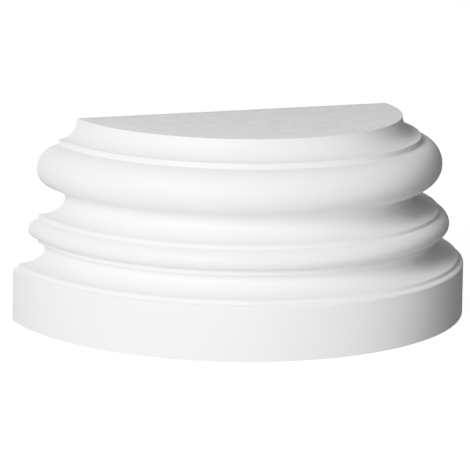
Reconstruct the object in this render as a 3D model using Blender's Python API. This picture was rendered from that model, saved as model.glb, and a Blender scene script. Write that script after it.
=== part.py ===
"""Half-round column base: one casting in rigid foam, primed white.

Attic order, from the top down: shaft seat, cavetto, fillet, large torus, scotia, fillet, small torus,
fillet, scotia, lip, rounded shoulder and a low plinth. The moulding is turned through half a circle round
the column's axis, and the flat back goes against the wall.
"""

from math import cos, pi, radians, sin, tan

import bmesh
import bpy

# Metres. Radii are counted from the column's axis. Each projection or recess is the radial step from
# the member above, and each height is the member's own, so the members stack whatever their sizes.
SHAFT_SEAT_RADIUS = 0.1432

CAVETTO_PROJECTION = 0.0163
CAVETTO_HEIGHT = 0.0168

UPPER_FILLET_HEIGHT = 0.0044

LARGE_TORUS_PROJECTION = 0.01875
LARGE_TORUS_RISE = 0.0199
LARGE_TORUS_RETURN = 0.0182
LARGE_TORUS_FALL = 0.0179

UPPER_SCOTIA_RECESS = 0.0064
UPPER_SCOTIA_FALL = 0.0085
UPPER_SCOTIA_APRON_PROJECTION = 0.0230
UPPER_SCOTIA_APRON_HEIGHT = 0.0121

MIDDLE_FILLET_HEIGHT = 0.0035

SMALL_TORUS_PROJECTION = 0.0090
SMALL_TORUS_RISE = 0.0094
SMALL_TORUS_RETURN = 0.0085
SMALL_TORUS_FALL = 0.0074

LOWER_FILLET_HEIGHT = 0.0041

LOWER_SCOTIA_RECESS = 0.0061
LOWER_SCOTIA_FALL = 0.0051
LOWER_SCOTIA_APRON_PROJECTION = 0.0230
LOWER_SCOTIA_APRON_HEIGHT = 0.0112

LIP_HEIGHT = 0.0033

SHOULDER_PROJECTION = 0.0045
SHOULDER_HEIGHT = 0.0022

PLINTH_HEIGHT = 0.04345

# Upright faces widen downwards by these angles, so the casting leaves its mould.
FILLET_DRAFT_DEGREES = 3.0
PLINTH_DRAFT_DEGREES = 0.85

# Facets: steps round the half circle, and points along each curved member.
TURN_STEPS = 48
STEPS_PER_CURVE = 8

PRIMER_COLOUR = (0.86, 0.86, 0.86, 1.0)
PRIMER_ROUGHNESS = 0.55

# Points of the turned surface that lie closer than this are one point.
WELD_DISTANCE = 1e-6
SHARP_EDGE_DEGREES = 25


def add_quarter(line, radial_step, fall, leaves_level):
    """Carry the section down a quarter of an ellipse.

    It leaves the last point level and arrives upright, or the other way round.
    """
    radius, height = line[-1]
    for step in range(1, STEPS_PER_CURVE + 1):
        angle = pi / 2 * step / STEPS_PER_CURVE
        if leaves_level:
            outward, downward = sin(angle), 1 - cos(angle)
        else:
            outward, downward = 1 - cos(angle), sin(angle)
        line.append((radius + radial_step * outward, height - fall * downward))


def add_upright(line, fall, draft_degrees):
    """Carry the section down an upright face that widens by its draft."""
    radius, height = line[-1]
    line.append((radius + fall * tan(radians(draft_degrees)), height - fall))


def moulding_section():
    """Outline of the base from the shaft seat's edge down to the floor, as (radius, height)."""
    line = [(SHAFT_SEAT_RADIUS, 0.0)]
    add_quarter(line, CAVETTO_PROJECTION, CAVETTO_HEIGHT, leaves_level=False)
    add_upright(line, UPPER_FILLET_HEIGHT, FILLET_DRAFT_DEGREES)
    add_quarter(line, LARGE_TORUS_PROJECTION, LARGE_TORUS_RISE, leaves_level=True)
    add_quarter(line, -LARGE_TORUS_RETURN, LARGE_TORUS_FALL, leaves_level=False)
    add_quarter(line, -UPPER_SCOTIA_RECESS, UPPER_SCOTIA_FALL, leaves_level=True)
    add_quarter(line, UPPER_SCOTIA_APRON_PROJECTION, UPPER_SCOTIA_APRON_HEIGHT, leaves_level=False)
    add_upright(line, MIDDLE_FILLET_HEIGHT, FILLET_DRAFT_DEGREES)
    add_quarter(line, SMALL_TORUS_PROJECTION, SMALL_TORUS_RISE, leaves_level=True)
    add_quarter(line, -SMALL_TORUS_RETURN, SMALL_TORUS_FALL, leaves_level=False)
    add_upright(line, LOWER_FILLET_HEIGHT, FILLET_DRAFT_DEGREES)
    add_quarter(line, -LOWER_SCOTIA_RECESS, LOWER_SCOTIA_FALL, leaves_level=True)
    add_quarter(line, LOWER_SCOTIA_APRON_PROJECTION, LOWER_SCOTIA_APRON_HEIGHT, leaves_level=False)
    add_upright(line, LIP_HEIGHT, FILLET_DRAFT_DEGREES)
    add_quarter(line, SHOULDER_PROJECTION, SHOULDER_HEIGHT, leaves_level=True)
    add_upright(line, PLINTH_HEIGHT, PLINTH_DRAFT_DEGREES)
    floor_height = line[-1][1]
    return [(radius, height - floor_height) for radius, height in line]


def turned_half(section):
    """Mesh of the section turned from +X through the front, -Y, to -X, and closed by a flat back.

    The origin is on the underside, midway along the width and the depth.
    """
    shape = bmesh.new()
    seat_height = section[0][1]
    closed_at_axis = [(0.0, seat_height)] + section + [(0.0, 0.0)]
    corners = [shape.verts.new((radius, 0.0, height)) for radius, height in closed_at_axis]
    edges = [shape.edges.new(pair) for pair in zip(corners, corners[1:])]
    bmesh.ops.spin(
        shape,
        geom=corners + edges,
        cent=(0.0, 0.0, 0.0),
        axis=(0.0, 0.0, 1.0),
        angle=-pi,
        steps=TURN_STEPS,
    )
    bmesh.ops.remove_doubles(shape, verts=shape.verts, dist=WELD_DISTANCE)
    rim = [edge for edge in shape.edges if edge.is_boundary]
    bmesh.ops.contextual_create(shape, geom=rim)
    bmesh.ops.recalc_face_normals(shape, faces=shape.faces)
    depth = max(radius for radius, height in section)
    bmesh.ops.translate(shape, verts=shape.verts, vec=(0.0, depth / 2, 0.0))
    mesh = bpy.data.meshes.new("half_column_base")
    shape.to_mesh(mesh)
    shape.free()
    mesh.shade_smooth()
    mesh.set_sharp_from_angle(angle=radians(SHARP_EDGE_DEGREES))
    return mesh


def primed_foam():
    """Material of the casting: white primer sprayed over rigid foam."""
    material = bpy.data.materials.new("primed_rigid_foam")
    material.use_nodes = True
    surface = material.node_tree.nodes["Principled BSDF"]
    surface.inputs["Base Color"].default_value = PRIMER_COLOUR
    surface.inputs["Roughness"].default_value = PRIMER_ROUGHNESS
    surface.inputs["Metallic"].default_value = 0.0
    return material


def clear_scene():
    """Remove every object that the new file came with."""
    for item in list(bpy.data.objects):
        bpy.data.objects.remove(item, do_unlink=True)


def build_base():
    """Model the casting as one named object."""
    mesh = turned_half(moulding_section())
    mesh.materials.append(primed_foam())
    casting = bpy.data.objects.new("half_column_base", mesh)
    bpy.context.scene.collection.objects.link(casting)


clear_scene()
build_base()
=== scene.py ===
"""Looks of the half-round column base: a rigid-foam casting with a sprayed white primer.

The moulding is turned again from the casting's own sizes, with finer steps and eased edges. Three finishes
cover it: the primed skin of the moulding and the plinth, the same primer on the sanded seat, and sawn foam
with a mist of primer on the underside and the flat back.
"""

from math import cos, hypot, pi, radians, sin, tan

import bmesh
import bpy
from mathutils import Matrix, Vector


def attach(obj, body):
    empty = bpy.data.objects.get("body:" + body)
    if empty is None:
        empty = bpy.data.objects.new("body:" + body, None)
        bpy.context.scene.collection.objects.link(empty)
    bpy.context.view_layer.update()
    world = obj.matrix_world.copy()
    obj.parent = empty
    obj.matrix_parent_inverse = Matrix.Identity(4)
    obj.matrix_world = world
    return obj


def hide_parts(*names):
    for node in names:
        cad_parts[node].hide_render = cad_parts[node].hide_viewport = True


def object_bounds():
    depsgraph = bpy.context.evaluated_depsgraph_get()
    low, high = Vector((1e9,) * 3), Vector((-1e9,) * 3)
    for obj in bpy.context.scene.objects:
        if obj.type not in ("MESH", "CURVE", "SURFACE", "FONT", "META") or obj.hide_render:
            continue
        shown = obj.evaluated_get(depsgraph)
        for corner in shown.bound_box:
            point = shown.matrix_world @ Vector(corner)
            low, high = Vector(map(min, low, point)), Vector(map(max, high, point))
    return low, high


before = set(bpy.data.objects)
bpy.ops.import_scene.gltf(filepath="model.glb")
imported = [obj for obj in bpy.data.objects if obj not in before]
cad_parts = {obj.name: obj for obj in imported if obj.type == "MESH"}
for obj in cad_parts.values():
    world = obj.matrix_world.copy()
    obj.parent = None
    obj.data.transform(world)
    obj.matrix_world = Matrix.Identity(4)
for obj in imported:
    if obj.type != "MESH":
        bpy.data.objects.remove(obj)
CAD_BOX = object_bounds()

# Sizes of the casting, in metres. Radii are counted from the column's axis. Each projection or recess is
# the radial step from the member above, and each height is the member's own.
SHAFT_SEAT_RADIUS = 0.1432

CAVETTO_PROJECTION = 0.0163
CAVETTO_HEIGHT = 0.0168

UPPER_FILLET_HEIGHT = 0.0044

LARGE_TORUS_PROJECTION = 0.01875
LARGE_TORUS_RISE = 0.0199
LARGE_TORUS_RETURN = 0.0182
LARGE_TORUS_FALL = 0.0179

UPPER_SCOTIA_RECESS = 0.0064
UPPER_SCOTIA_FALL = 0.0085
UPPER_SCOTIA_APRON_PROJECTION = 0.0230
UPPER_SCOTIA_APRON_HEIGHT = 0.0121

MIDDLE_FILLET_HEIGHT = 0.0035

SMALL_TORUS_PROJECTION = 0.0090
SMALL_TORUS_RISE = 0.0094
SMALL_TORUS_RETURN = 0.0085
SMALL_TORUS_FALL = 0.0074

LOWER_FILLET_HEIGHT = 0.0041

LOWER_SCOTIA_RECESS = 0.0061
LOWER_SCOTIA_FALL = 0.0051
LOWER_SCOTIA_APRON_PROJECTION = 0.0230
LOWER_SCOTIA_APRON_HEIGHT = 0.0112

LIP_HEIGHT = 0.0033

SHOULDER_PROJECTION = 0.0045
SHOULDER_HEIGHT = 0.0022

PLINTH_HEIGHT = 0.04345

FILLET_DRAFT_DEGREES = 3.0
PLINTH_DRAFT_DEGREES = 0.85

# The flat back is the casting's rear limit, and the column's axis lies in it.
BACK_PLANE = CAD_BOX[1][1]

# Edges leave the mould slightly rounded: this much is cut off each side of an outer or inner corner.
OUTER_EDGE_EASE = 0.0005
INNER_CORNER_EASE = 0.0004

# Sanding takes the sharp edge off the rim of the flat back.
BACK_RIM_EASE = 0.0003
BACK_RIM_STEPS = 2
ROUND_BEVEL = 0.5

# A narrow strip beside each eased edge keeps its rounded shading off the face next to it.
STRIP_BESIDE_EDGE = 0.0002
FLAT_RIM_WIDTH = 0.001
END_STRIP_SHARE_OF_STEP = 0.2

# Fineness of the mesh.
TURN_STEPS = 180
STEPS_PER_CURVE = 18
STEPS_PER_EASE = 4
SHARP_EDGE_DEGREES = 40

# A quarter of an ellipse leaves its start level and arrives upright, or the other way round.
LEVEL_FIRST = True
UPRIGHT_FIRST = False

# Places of the finishes in the casting's list of materials.
SKIN = 0
SANDED = 1
SAWN = 2

# Colours of the finishes, in sRGB.
THIN_PRIMER = "#EBEBEB"
FULL_PRIMER = "#EFEFEF"
SUNKEN_PRIMER = "#E5E5E5"
STANDING_PRIMER = "#F5F5F5"
BARE_FOAM = "#DDD9CE"
MISTED_FOAM = "#ECE9E2"
OPEN_CELL = "#B0A898"
FLOOR_PAINT = "#F9F9F9"
PURE_WHITE = "#FFFFFF"

# Sizes of the patterns in the finishes, in millimetres.
GUN_PASS_MM = 45
DRY_SPRAY_MM = 1.2
ORANGE_PEEL_MM = 2.2
SEAT_PATCH_MM = 14
SANDING_GRAIN_MM = 1.0
MIST_DRIFT_MM = 30
SAW_MARK_MM = 4
CELL_NET_MM = 4

# Depths of the patterns, in metres.
ORANGE_PEEL_DEPTH = 0.00005
SANDING_GRAIN_DEPTH = 0.00004
SAW_MARK_DEPTH = 0.0004

# The saw's marks run along the width, some thirty times as long as they are wide.
SAW_MARK_SQUEEZE = (0.03, 1.0, 1.0)

# An open cell ends between these distances from its middle, as shares of the net's spacing.
CELL_EDGE = (0.10, 0.20)

# Each place of the net has a random number from 0 to 1. It holds an open cell below the first of these
# numbers and none above the second.
OPEN_CELL_CHANCE = (0.40, 0.45)

# Camera, solved from the circles of the moulding in the photograph. The place is counted from the point
# where the column's axis meets the floor, and the picture is PICTURE_WIDTH pixels wide.
CAMERA_FROM_AXIS = (-0.8304, -1.9431, 0.5168)
CAMERA_YAW_DEGREES = 23.188
CAMERA_PITCH_DEGREES = 12.202
CAMERA_ROLL_DEGREES = 1.111
PICTURE_WIDTH = 470
FOCAL_LENGTH_IN_PIXELS = 2500.3
SENSOR_WIDTH_MM = 36.0

# Studio floor, in metres. It lies a hair above the underside, so the two don't share a plane, and it glows
# enough to be as white as the photograph's ground.
FLOOR_REACH = 12.0
FLOOR_LEVEL = 0.0001
FLOOR_GLOW = 2.6

SURROUND_STRENGTH = 0.278

# Below 1 this darkens the middle tones, as in the photograph.
PICTURE_GAMMA = 0.75

# Each soft box: its name, its direction in degrees to the right of straight in front, its height above the
# horizon in degrees, its distance and the length of its side in metres, and its power in watts. The last
# two light the hidden sides, which the camera of the photograph doesn't see.
SOFT_BOXES = (
    ("key", -60, 25, 2.5, 0.8, 46.6),
    ("near_key", -45, 25, 1.2, 0.5, 15.3),
    ("near_low_left", -45, 3, 1.2, 0.5, 6.0),
    ("near_low_front", -30, 3, 1.2, 0.5, 3.2),
    ("rear", 180, 40, 2.5, 0.8, 5.0),
    ("back_fill", 180, 2, 2.5, 0.8, 45.0),
    ("underside_fill", 180, -60, 2.5, 0.8, 40.0),
)


def quarter(start, radial_step, fall, level_first):
    """Quarter of an ellipse going down from start, level or upright first."""
    radius, height = start
    points = []
    for step in range(STEPS_PER_CURVE + 1):
        angle = pi / 2 * step / STEPS_PER_CURVE
        if level_first:
            outward, downward = sin(angle), 1 - cos(angle)
        else:
            outward, downward = 1 - cos(angle), sin(angle)
        points.append((radius + radial_step * outward, height - fall * downward))
    return points


def upright(start, fall, draft_degrees):
    """Upright face going down from start, widening by its draft."""
    radius, height = start
    return [start, (radius + fall * tan(radians(draft_degrees)), height - fall)]


def moulding_members():
    """Every member of the section from the seat to the underside, each with the ease of its lower end."""
    seat_height = CAD_BOX[1][2]
    seat_rim = [(SHAFT_SEAT_RADIUS - FLAT_RIM_WIDTH, seat_height), (SHAFT_SEAT_RADIUS, seat_height)]
    members = [(seat_rim, OUTER_EDGE_EASE)]

    def end():
        return members[-1][0][-1]

    def add_quarter(radial_step, fall, level_first, ease_below=0):
        members.append((quarter(end(), radial_step, fall, level_first), ease_below))

    def add_upright(fall, draft_degrees, ease_below):
        members.append((upright(end(), fall, draft_degrees), ease_below))

    add_quarter(CAVETTO_PROJECTION, CAVETTO_HEIGHT, UPRIGHT_FIRST, OUTER_EDGE_EASE)
    add_upright(UPPER_FILLET_HEIGHT, FILLET_DRAFT_DEGREES, INNER_CORNER_EASE)
    add_quarter(LARGE_TORUS_PROJECTION, LARGE_TORUS_RISE, LEVEL_FIRST)
    add_quarter(-LARGE_TORUS_RETURN, LARGE_TORUS_FALL, UPRIGHT_FIRST)
    add_quarter(-UPPER_SCOTIA_RECESS, UPPER_SCOTIA_FALL, LEVEL_FIRST)
    add_quarter(UPPER_SCOTIA_APRON_PROJECTION, UPPER_SCOTIA_APRON_HEIGHT, UPRIGHT_FIRST, OUTER_EDGE_EASE)
    add_upright(MIDDLE_FILLET_HEIGHT, FILLET_DRAFT_DEGREES, INNER_CORNER_EASE)
    add_quarter(SMALL_TORUS_PROJECTION, SMALL_TORUS_RISE, LEVEL_FIRST)
    add_quarter(-SMALL_TORUS_RETURN, SMALL_TORUS_FALL, UPRIGHT_FIRST, INNER_CORNER_EASE)
    add_upright(LOWER_FILLET_HEIGHT, FILLET_DRAFT_DEGREES, OUTER_EDGE_EASE)
    add_quarter(-LOWER_SCOTIA_RECESS, LOWER_SCOTIA_FALL, LEVEL_FIRST)
    add_quarter(LOWER_SCOTIA_APRON_PROJECTION, LOWER_SCOTIA_APRON_HEIGHT, UPRIGHT_FIRST, OUTER_EDGE_EASE)
    add_upright(LIP_HEIGHT, FILLET_DRAFT_DEGREES, INNER_CORNER_EASE)
    add_quarter(SHOULDER_PROJECTION, SHOULDER_HEIGHT, LEVEL_FIRST)
    add_upright(PLINTH_HEIGHT, PLINTH_DRAFT_DEGREES, OUTER_EDGE_EASE)
    plinth_radius, floor_height = end()
    underside_rim = [end(), (plinth_radius - FLAT_RIM_WIDTH, floor_height)]
    members.append((underside_rim, 0))
    return members


def last_step(points):
    """Radius, height and length of the step from the last point but one to the last."""
    outward = points[-1][0] - points[-2][0]
    upward = points[-1][1] - points[-2][1]
    return outward, upward, hypot(outward, upward)


def shortened(points, cut):
    """The line without its last stretch, which is cut long."""
    points = list(points)
    outward, upward, length = last_step(points)
    while length <= cut:
        cut -= length
        points.pop()
        outward, upward, length = last_step(points)
    kept = 1 - cut / length
    radius, height = points[-2]
    points[-1] = (radius + outward * kept, height + upward * kept)
    return points


def cut_for_edge(points, ease):
    """The line cut short for an eased edge, with one more point close to its new end."""
    points = shortened(points, ease)
    return shortened(points, STRIP_BESIDE_EDGE) + [points[-1]]


def eased_section():
    """Section of the casting from the seat's rim to the underside's, with its edges eased."""
    members = moulding_members()
    section = []
    ease_above = 0
    for index, (points, ease_below) in enumerate(members):
        corner = points[-1]
        if ease_above:
            points = cut_for_edge(points[::-1], ease_above)[::-1]
        if ease_below:
            points = cut_for_edge(points, ease_below)
        if section and not ease_above:
            # Its first point is the section's last one already.
            points = points[1:]
        section.extend(points)
        if ease_below:
            following = shortened(members[index + 1][0][::-1], ease_below)[-1]
            section.extend(corner_curve(points[-1], corner, following))
        ease_above = ease_below
    return section


def corner_curve(start, corner, finish):
    """Points between start and finish on the small curve that rounds a corner."""
    points = []
    for step in range(1, STEPS_PER_EASE):
        part = step / STEPS_PER_EASE
        weights = ((1 - part) ** 2, 2 * part * (1 - part), part ** 2)
        radius = weights[0] * start[0] + weights[1] * corner[0] + weights[2] * finish[0]
        height = weights[0] * start[1] + weights[1] * corner[1] + weights[2] * finish[1]
        points.append((radius, height))
    return points


def add_node(tree, kind, inputs, **settings):
    """Add a node, set it up and fill its inputs.

    An input takes a plain value, another node's output, or a node, which gives its first live output.
    """
    node = tree.nodes.new(kind)
    for name, value in settings.items():
        setattr(node, name, value)
    for name, value in inputs.items():
        if isinstance(value, bpy.types.Node):
            value = next(output for output in value.outputs if output.enabled)
        if isinstance(value, bpy.types.NodeSocket):
            tree.links.new(value, node.inputs[name])
        else:
            node.inputs[name].default_value = value
    return node


def turning_tree():
    """Geometry tree that turns a section from +X through the front to -X.

    The section is one line of points, (radius, 0, height). The first and the last step of the turn are
    shorter than the rest, by Strip Share, so a narrow strip lies beside the flat back.
    """
    tree = bpy.data.node_groups.new("turned_half_moulding", "GeometryNodeTree")
    tree.interface.new_socket("Section", in_out="INPUT", socket_type="NodeSocketGeometry")
    tree.interface.new_socket("Turn Angle", in_out="INPUT", socket_type="NodeSocketFloat")
    tree.interface.new_socket("Turn Steps", in_out="INPUT", socket_type="NodeSocketInt")
    tree.interface.new_socket("Strip Share", in_out="INPUT", socket_type="NodeSocketFloat")
    tree.interface.new_socket("Axis Depth", in_out="INPUT", socket_type="NodeSocketFloat")
    tree.interface.new_socket("Finish", in_out="INPUT", socket_type="NodeSocketMaterial")
    tree.interface.new_socket("Moulding", in_out="OUTPUT", socket_type="NodeSocketGeometry")
    given = add_node(tree, "NodeGroupInput", {}).outputs

    # A flat net, with one row of points for each place of the section as it turns.
    size = add_node(
        tree,
        "GeometryNodeAttributeDomainSize",
        {"Geometry": given["Section"]},
        component="MESH",
    )
    per_row = size.outputs["Point Count"]
    rows = add_node(tree, "ShaderNodeMath", {0: given["Turn Steps"], 1: 1.0}, operation="ADD")
    net = add_node(tree, "GeometryNodeMeshGrid", {"Vertices X": rows, "Vertices Y": per_row})
    index = add_node(tree, "GeometryNodeInputIndex", {})
    along = add_node(tree, "ShaderNodeMath", {0: index, 1: per_row}, operation="MODULO")
    rows_passed = add_node(tree, "ShaderNodeMath", {0: index, 1: per_row}, operation="DIVIDE")
    row = add_node(tree, "ShaderNodeMath", {0: rows_passed}, operation="FLOOR")

    # The row's share of the turn, in steps that are even but for the two short ones at the ends.
    cut = add_node(tree, "ShaderNodeMath", {0: 1.0, 1: given["Strip Share"]}, operation="SUBTRACT")
    both_cuts = add_node(tree, "ShaderNodeMath", {0: cut, 1: 2.0}, operation="MULTIPLY")
    all_steps = given["Turn Steps"]
    even_steps = add_node(tree, "ShaderNodeMath", {0: all_steps, 1: both_cuts}, operation="SUBTRACT")
    steps_turned = add_node(tree, "ShaderNodeMath", {0: row, 1: cut}, operation="SUBTRACT")
    share = add_node(
        tree,
        "ShaderNodeMath",
        {0: steps_turned, 1: even_steps},
        operation="DIVIDE",
        use_clamp=True,
    )
    angle = add_node(tree, "ShaderNodeMath", {0: share, 1: given["Turn Angle"]}, operation="MULTIPLY")

    # Each point of the net goes to its point of the section, turned by its row's angle.
    position = add_node(tree, "GeometryNodeInputPosition", {})
    on_section = add_node(
        tree,
        "GeometryNodeSampleIndex",
        {"Geometry": given["Section"], "Value": position.outputs[0], "Index": along},
        data_type="FLOAT_VECTOR",
        domain="POINT",
    )
    turned = add_node(
        tree,
        "ShaderNodeVectorRotate",
        {"Vector": on_section.outputs["Value"], "Axis": (0.0, 0.0, -1.0), "Angle": angle},
        rotation_type="AXIS_ANGLE",
    )
    surface = add_node(
        tree,
        "GeometryNodeSetPosition",
        {"Geometry": net.outputs["Mesh"], "Position": turned},
    )
    to_axis = add_node(tree, "ShaderNodeCombineXYZ", {"Y": given["Axis Depth"]})
    in_place = add_node(tree, "GeometryNodeTransform", {"Geometry": surface, "Translation": to_axis})
    real = add_node(tree, "GeometryNodeRealizeInstances", {"Geometry": in_place})
    finished = add_node(tree, "GeometryNodeSetMaterial", {"Geometry": real, "Material": given["Finish"]})
    add_node(tree, "NodeGroupOutput", {"Moulding": finished})
    return tree


def section_object():
    """Object that holds the eased section as one line of points."""
    mesh = bpy.data.meshes.new("moulding_section")
    corners = [(radius, 0.0, height) for radius, height in eased_section()]
    edges = [(index, index + 1) for index in range(len(corners) - 1)]
    mesh.from_pydata(corners, edges, [])
    holder = bpy.data.objects.new("moulding_section", mesh)
    bpy.context.scene.collection.objects.link(holder)
    return holder


def set_inputs(modifier, values):
    """Set a geometry modifier's inputs, given by name, through their sockets' identifiers."""
    for item in modifier.node_group.interface.items_tree:
        if item.item_type == "SOCKET" and item.name in values:
            modifier[item.identifier] = values[item.name]


def plain_mesh(holder, name):
    """Turn what a holder's modifiers make into a plain mesh object, and remove the holder."""
    bpy.context.view_layer.update()
    seen = holder.evaluated_get(bpy.context.evaluated_depsgraph_get())
    mesh = bpy.data.meshes.new_from_object(seen)
    mesh.name = name
    bpy.data.objects.remove(holder, do_unlink=True)
    piece = bpy.data.objects.new(name, mesh)
    bpy.context.scene.collection.objects.link(piece)
    return piece


def close_flat_sides(shape, per_row):
    """Close the turned surface with the seat, the underside and the back, and ease the back's rim.

    The surface's corners stand in rows of per_row, from the seat down, the first row in the back plane
    on the right and the last one on the left.
    """
    shape.verts.ensure_lookup_table()
    corners = list(shape.verts)
    right_profile = corners[:per_row]
    left_profile = corners[-per_row:]
    seat = shape.faces.new(corners[::per_row])
    underside = shape.faces.new(corners[per_row - 1::per_row])
    back = shape.faces.new(right_profile + left_profile[::-1])
    bmesh.ops.recalc_face_normals(shape, faces=shape.faces)
    seat.material_index = SANDED
    underside.material_index = SAWN
    back.material_index = SAWN
    for face in (seat, underside, back):
        face.smooth = False
    bmesh.ops.bevel(
        shape,
        geom=list(back.edges),
        offset=BACK_RIM_EASE,
        segments=BACK_RIM_STEPS,
        profile=ROUND_BEVEL,
        affect="EDGES",
        material=SKIN,
    )


def casting():
    """The whole base, as one closed piece."""
    skin = primed_skin()
    holder = section_object()
    per_row = len(holder.data.vertices)
    turning = holder.modifiers.new("turning", "NODES")
    turning.node_group = turning_tree()
    set_inputs(
        turning,
        {
            "Turn Angle": pi,
            "Turn Steps": TURN_STEPS,
            "Strip Share": END_STRIP_SHARE_OF_STEP,
            "Axis Depth": BACK_PLANE,
            "Finish": skin,
        },
    )
    piece = plain_mesh(holder, "half_column_base_casting")
    piece.data.materials.clear()
    for finish in (skin, sanded_seat(), sawn_foam()):
        piece.data.materials.append(finish)
    shape = bmesh.new()
    shape.from_mesh(piece.data)
    for face in shape.faces:
        face.smooth = True
        face.material_index = SKIN
    close_flat_sides(shape, per_row)
    shape.to_mesh(piece.data)
    shape.free()
    piece.data.set_sharp_from_angle(angle=radians(SHARP_EDGE_DEGREES))
    return piece


def linear(hex_colour):
    """Turn an sRGB hex colour into the linear RGBA that a shader takes."""
    channels = []
    for start in (1, 3, 5):
        value = int(hex_colour[start:start + 2], 16) / 255
        if value <= 0.04045:
            channels.append(value / 12.92)
        else:
            channels.append(((value + 0.055) / 1.055) ** 2.4)
    return (*channels, 1.0)


def per_metre(size_mm):
    """Texture scale that makes a pattern's features about size_mm across on Object coordinates."""
    return 1000 / size_mm


def new_material(name):
    """Empty material with its node tree and the object's own coordinates."""
    material = bpy.data.materials.new(name)
    material.use_nodes = True
    tree = material.node_tree
    tree.nodes.clear()
    coordinates = add_node(tree, "ShaderNodeTexCoord", {}).outputs["Object"]
    return material, tree, coordinates


def primed_skin():
    """White acrylic primer sprayed over the skin of the moulded foam.

    The mould leaves the skin dense and smooth, and the gun leaves a satin-matt white that is very even,
    with soft clouds where passes overlap and a faint orange peel.
    """
    material, tree, coordinates = new_material("sprayed_primer_on_moulded_foam")
    # Passes of the gun overlap every few centimetres. The eye sees them only as the faintest clouds.
    clouds = add_node(
        tree,
        "ShaderNodeTexNoise",
        {"Vector": coordinates, "Scale": per_metre(GUN_PASS_MM), "Detail": 2.0},
    )
    # Dust of dry spray is about 0.1 mm, too fine to show, so it is drawn at 1.2 mm.
    dust = add_node(
        tree,
        "ShaderNodeTexNoise",
        {"Vector": coordinates, "Scale": per_metre(DRY_SPRAY_MM), "Detail": 1.0},
    )
    mottle = add_node(tree, "ShaderNodeMath", {0: clouds, 1: dust}, operation="ADD")
    cover = add_node(tree, "ShaderNodeMapRange", {"Value": mottle, "From Min": 0.7, "From Max": 1.3})
    white = add_node(
        tree,
        "ShaderNodeMix",
        {"Factor": cover, "A": linear(THIN_PRIMER), "B": linear(FULL_PRIMER)},
        data_type="RGBA",
    )
    # The coat is a little duller where the spray landed dry.
    dullness = add_node(
        tree,
        "ShaderNodeMapRange",
        {"Value": clouds, "From Min": 0.3, "From Max": 0.7, "To Min": 0.42, "To Max": 0.48},
    )
    # Orange peel has cells of 1 to 2 mm and is only some hundredths of a millimetre deep.
    peel = add_node(
        tree,
        "ShaderNodeTexNoise",
        {"Vector": coordinates, "Scale": per_metre(ORANGE_PEEL_MM), "Detail": 2.0},
    )
    relief = add_node(
        tree,
        "ShaderNodeBump",
        {"Height": peel, "Strength": 0.25, "Distance": ORANGE_PEEL_DEPTH},
    )
    coat = add_node(
        tree,
        "ShaderNodeBsdfPrincipled",
        {"Base Color": white, "Roughness": dullness, "Normal": relief},
    )
    add_node(tree, "ShaderNodeOutputMaterial", {"Surface": coat})
    return material


def sanded_seat():
    """The same primer on the seat, which was sanded flat first.

    Sanding opens the skin, so the coat sinks in unevenly: duller than the mouldings and faintly mottled.
    """
    material, tree, coordinates = new_material("primer_on_sanded_foam")
    # The primer sinks in patches of a centimetre or so, and finer ones inside them.
    patches = add_node(
        tree,
        "ShaderNodeTexNoise",
        {"Vector": coordinates, "Scale": per_metre(SEAT_PATCH_MM), "Detail": 3.0, "Roughness": 0.6},
    )
    cover = add_node(tree, "ShaderNodeMapRange", {"Value": patches, "From Min": 0.3, "From Max": 0.7})
    white = add_node(
        tree,
        "ShaderNodeMix",
        {"Factor": cover, "A": linear(SUNKEN_PRIMER), "B": linear(STANDING_PRIMER)},
        data_type="RGBA",
    )
    dullness = add_node(
        tree,
        "ShaderNodeMapRange",
        {"Value": patches, "From Min": 0.3, "From Max": 0.7, "To Min": 0.66, "To Max": 0.56},
    )
    # Scratches of 120 grit are about 0.15 mm wide, drawn as a grain of 1 mm.
    grain = add_node(
        tree,
        "ShaderNodeTexNoise",
        {"Vector": coordinates, "Scale": per_metre(SANDING_GRAIN_MM), "Detail": 2.0},
    )
    relief = add_node(
        tree,
        "ShaderNodeBump",
        {"Height": grain, "Strength": 0.3, "Distance": SANDING_GRAIN_DEPTH},
    )
    coat = add_node(
        tree,
        "ShaderNodeBsdfPrincipled",
        {"Base Color": white, "Roughness": dullness, "Normal": relief},
    )
    add_node(tree, "ShaderNodeOutputMaterial", {"Surface": coat})
    return material


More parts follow.
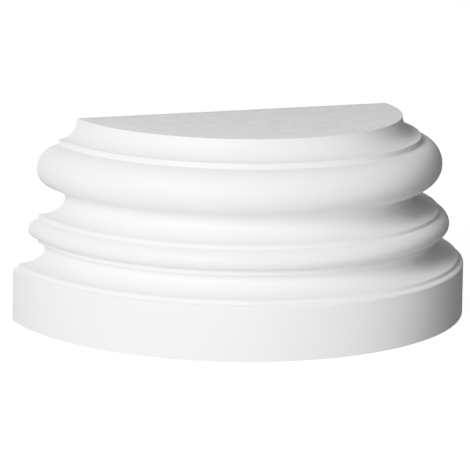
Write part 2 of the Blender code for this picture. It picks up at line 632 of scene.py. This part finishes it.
def sawn_foam():
    """Rigid polyurethane foam, sawn flat and left with only a mist of primer.

    Off-white and matt, with open cells as pin pricks and the saw's long low marks.
    """
    material, tree, coordinates = new_material("sawn_polyurethane_foam")
    # The primer's mist lies in drifts some centimetres across over the creamier foam.
    drifts = add_node(
        tree,
        "ShaderNodeTexNoise",
        {"Vector": coordinates, "Scale": per_metre(MIST_DRIFT_MM), "Detail": 3.0, "Roughness": 0.6},
    )
    # The saw's teeth leave marks 1 to 2 mm apart, drawn at 4 mm, that run on for 10 cm and more.
    along_cut = add_node(
        tree,
        "ShaderNodeMapping",
        {"Vector": coordinates, "Scale": SAW_MARK_SQUEEZE},
    )
    marks = add_node(
        tree,
        "ShaderNodeTexNoise",
        {"Vector": along_cut, "Scale": per_metre(SAW_MARK_MM), "Detail": 2.0},
    )
    # The primer's drifts are real. The saw's marks also make the colour darker in their grooves, which is
    # painted shade standing in for their relief.
    drifts_and_groove_shade = add_node(tree, "ShaderNodeMath", {0: drifts, 1: marks}, operation="ADD")
    mist_and_groove_shade = add_node(tree, "ShaderNodeMapRange", {"Value": drifts_and_groove_shade, "From Min": 0.7, "From Max": 1.3})
    foam = add_node(
        tree,
        "ShaderNodeMix",
        {"Factor": mist_and_groove_shade, "A": linear(BARE_FOAM), "B": linear(MISTED_FOAM)},
        data_type="RGBA",
    )
    # Open cells are 0.2 to 0.4 mm wide, drawn about 1.2 mm wide and only in some places of a net.
    cells = add_node(
        tree,
        "ShaderNodeTexVoronoi",
        {"Vector": coordinates, "Scale": per_metre(CELL_NET_MM)},
    )
    beyond_cell = add_node(
        tree,
        "ShaderNodeMapRange",
        {"Value": cells.outputs["Distance"], "From Min": CELL_EDGE[0], "From Max": CELL_EDGE[1]},
    )
    chance = add_node(tree, "ShaderNodeSeparateColor", {"Color": cells.outputs["Color"]})
    closed = add_node(
        tree,
        "ShaderNodeMapRange",
        {
            "Value": chance.outputs["Red"],
            "From Min": OPEN_CELL_CHANCE[0],
            "From Max": OPEN_CELL_CHANCE[1],
        },
    )
    whole = add_node(tree, "ShaderNodeMath", {0: beyond_cell, 1: closed}, operation="MAXIMUM")
    pricked = add_node(
        tree,
        "ShaderNodeMix",
        {"Factor": whole, "A": linear(OPEN_CELL), "B": foam},
        data_type="RGBA",
    )
    height = add_node(tree, "ShaderNodeMath", {0: marks, 1: whole}, operation="ADD")
    relief = add_node(
        tree,
        "ShaderNodeBump",
        {"Height": height, "Strength": 0.8, "Distance": SAW_MARK_DEPTH},
    )
    cut_face = add_node(
        tree,
        "ShaderNodeBsdfPrincipled",
        {"Base Color": pricked, "Roughness": 0.85, "Normal": relief},
    )
    add_node(tree, "ShaderNodeOutputMaterial", {"Surface": cut_face})
    return material


def floor():
    """Plain pale floor, wide enough to fill the picture."""
    mesh = bpy.data.meshes.new("studio_floor")
    ends = (-FLOOR_REACH, FLOOR_REACH)
    corners = [(x, y, FLOOR_LEVEL) for x in ends for y in ends]
    mesh.from_pydata(corners, [], [(0, 2, 3, 1)])
    ground = bpy.data.objects.new("studio_floor", mesh)
    bpy.context.scene.collection.objects.link(ground)
    # White painted board. It is matt, and its glow keeps it as white as the photograph's ground.
    material, tree = new_material("white_painted_floor_board")[:2]
    paint = add_node(
        tree,
        "ShaderNodeBsdfPrincipled",
        {
            "Base Color": linear(FLOOR_PAINT),
            "Roughness": 0.9,
            "Emission Color": linear(PURE_WHITE),
            "Emission Strength": FLOOR_GLOW,
        },
    )
    add_node(tree, "ShaderNodeOutputMaterial", {"Surface": paint})
    mesh.materials.append(material)
    # The casting in the photograph takes no light from below, so none comes back up from the floor.
    ground.visible_diffuse = False
    ground.visible_glossy = False


def camera():
    """Camera at the photograph's place and angle."""
    lens = bpy.data.cameras.new("studio_camera")
    lens.sensor_width = SENSOR_WIDTH_MM
    lens.lens = FOCAL_LENGTH_IN_PIXELS / PICTURE_WIDTH * SENSOR_WIDTH_MM
    holder = bpy.data.objects.new("studio_camera", lens)
    turn = Matrix.Rotation(radians(-CAMERA_YAW_DEGREES), 4, "Z")
    tip = Matrix.Rotation(pi / 2 - radians(CAMERA_PITCH_DEGREES), 4, "X")
    roll = Matrix.Rotation(radians(CAMERA_ROLL_DEGREES), 4, "Z")
    place = Vector(CAMERA_FROM_AXIS) + Vector((0.0, BACK_PLANE, 0.0))
    holder.matrix_world = Matrix.Translation(place) @ turn @ tip @ roll
    bpy.context.scene.collection.objects.link(holder)
    bpy.context.scene.camera = holder


def soft_box(name, azimuth_degrees, height_degrees, distance, side, watts):
    """Square soft box that faces the casting, placed by its direction and distance."""
    light = bpy.data.lights.new(name, "AREA")
    light.size = side
    light.energy = watts
    holder = bpy.data.objects.new(name, light)
    azimuth = radians(azimuth_degrees)
    height = radians(height_degrees)
    outwards = Vector((sin(azimuth) * cos(height), -cos(azimuth) * cos(height), sin(height)))
    middle = Vector((0.0, 0.0, CAD_BOX[1][2] / 2))
    holder.location = middle + outwards * distance
    holder.rotation_euler = outwards.to_track_quat("Z", "Y").to_euler()
    bpy.context.scene.collection.objects.link(holder)


def studio_light():
    """Soft light from the front left, fills for the hidden sides, an even surround, and high contrast."""
    for box in SOFT_BOXES:
        soft_box(*box)
    world = bpy.data.worlds.new("studio_surround")
    world.use_nodes = True
    surround = world.node_tree.nodes["Background"]
    surround.inputs["Color"].default_value = linear(PURE_WHITE)
    surround.inputs["Strength"].default_value = SURROUND_STRENGTH
    bpy.context.scene.world = world
    bpy.context.scene.view_settings.view_transform = "AgX"
    bpy.context.scene.view_settings.look = "AgX - Very High Contrast"
    bpy.context.scene.view_settings.gamma = PICTURE_GAMMA


camera()
floor()
studio_light()
base = casting()
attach(base, "root")
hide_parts("half_column_base")
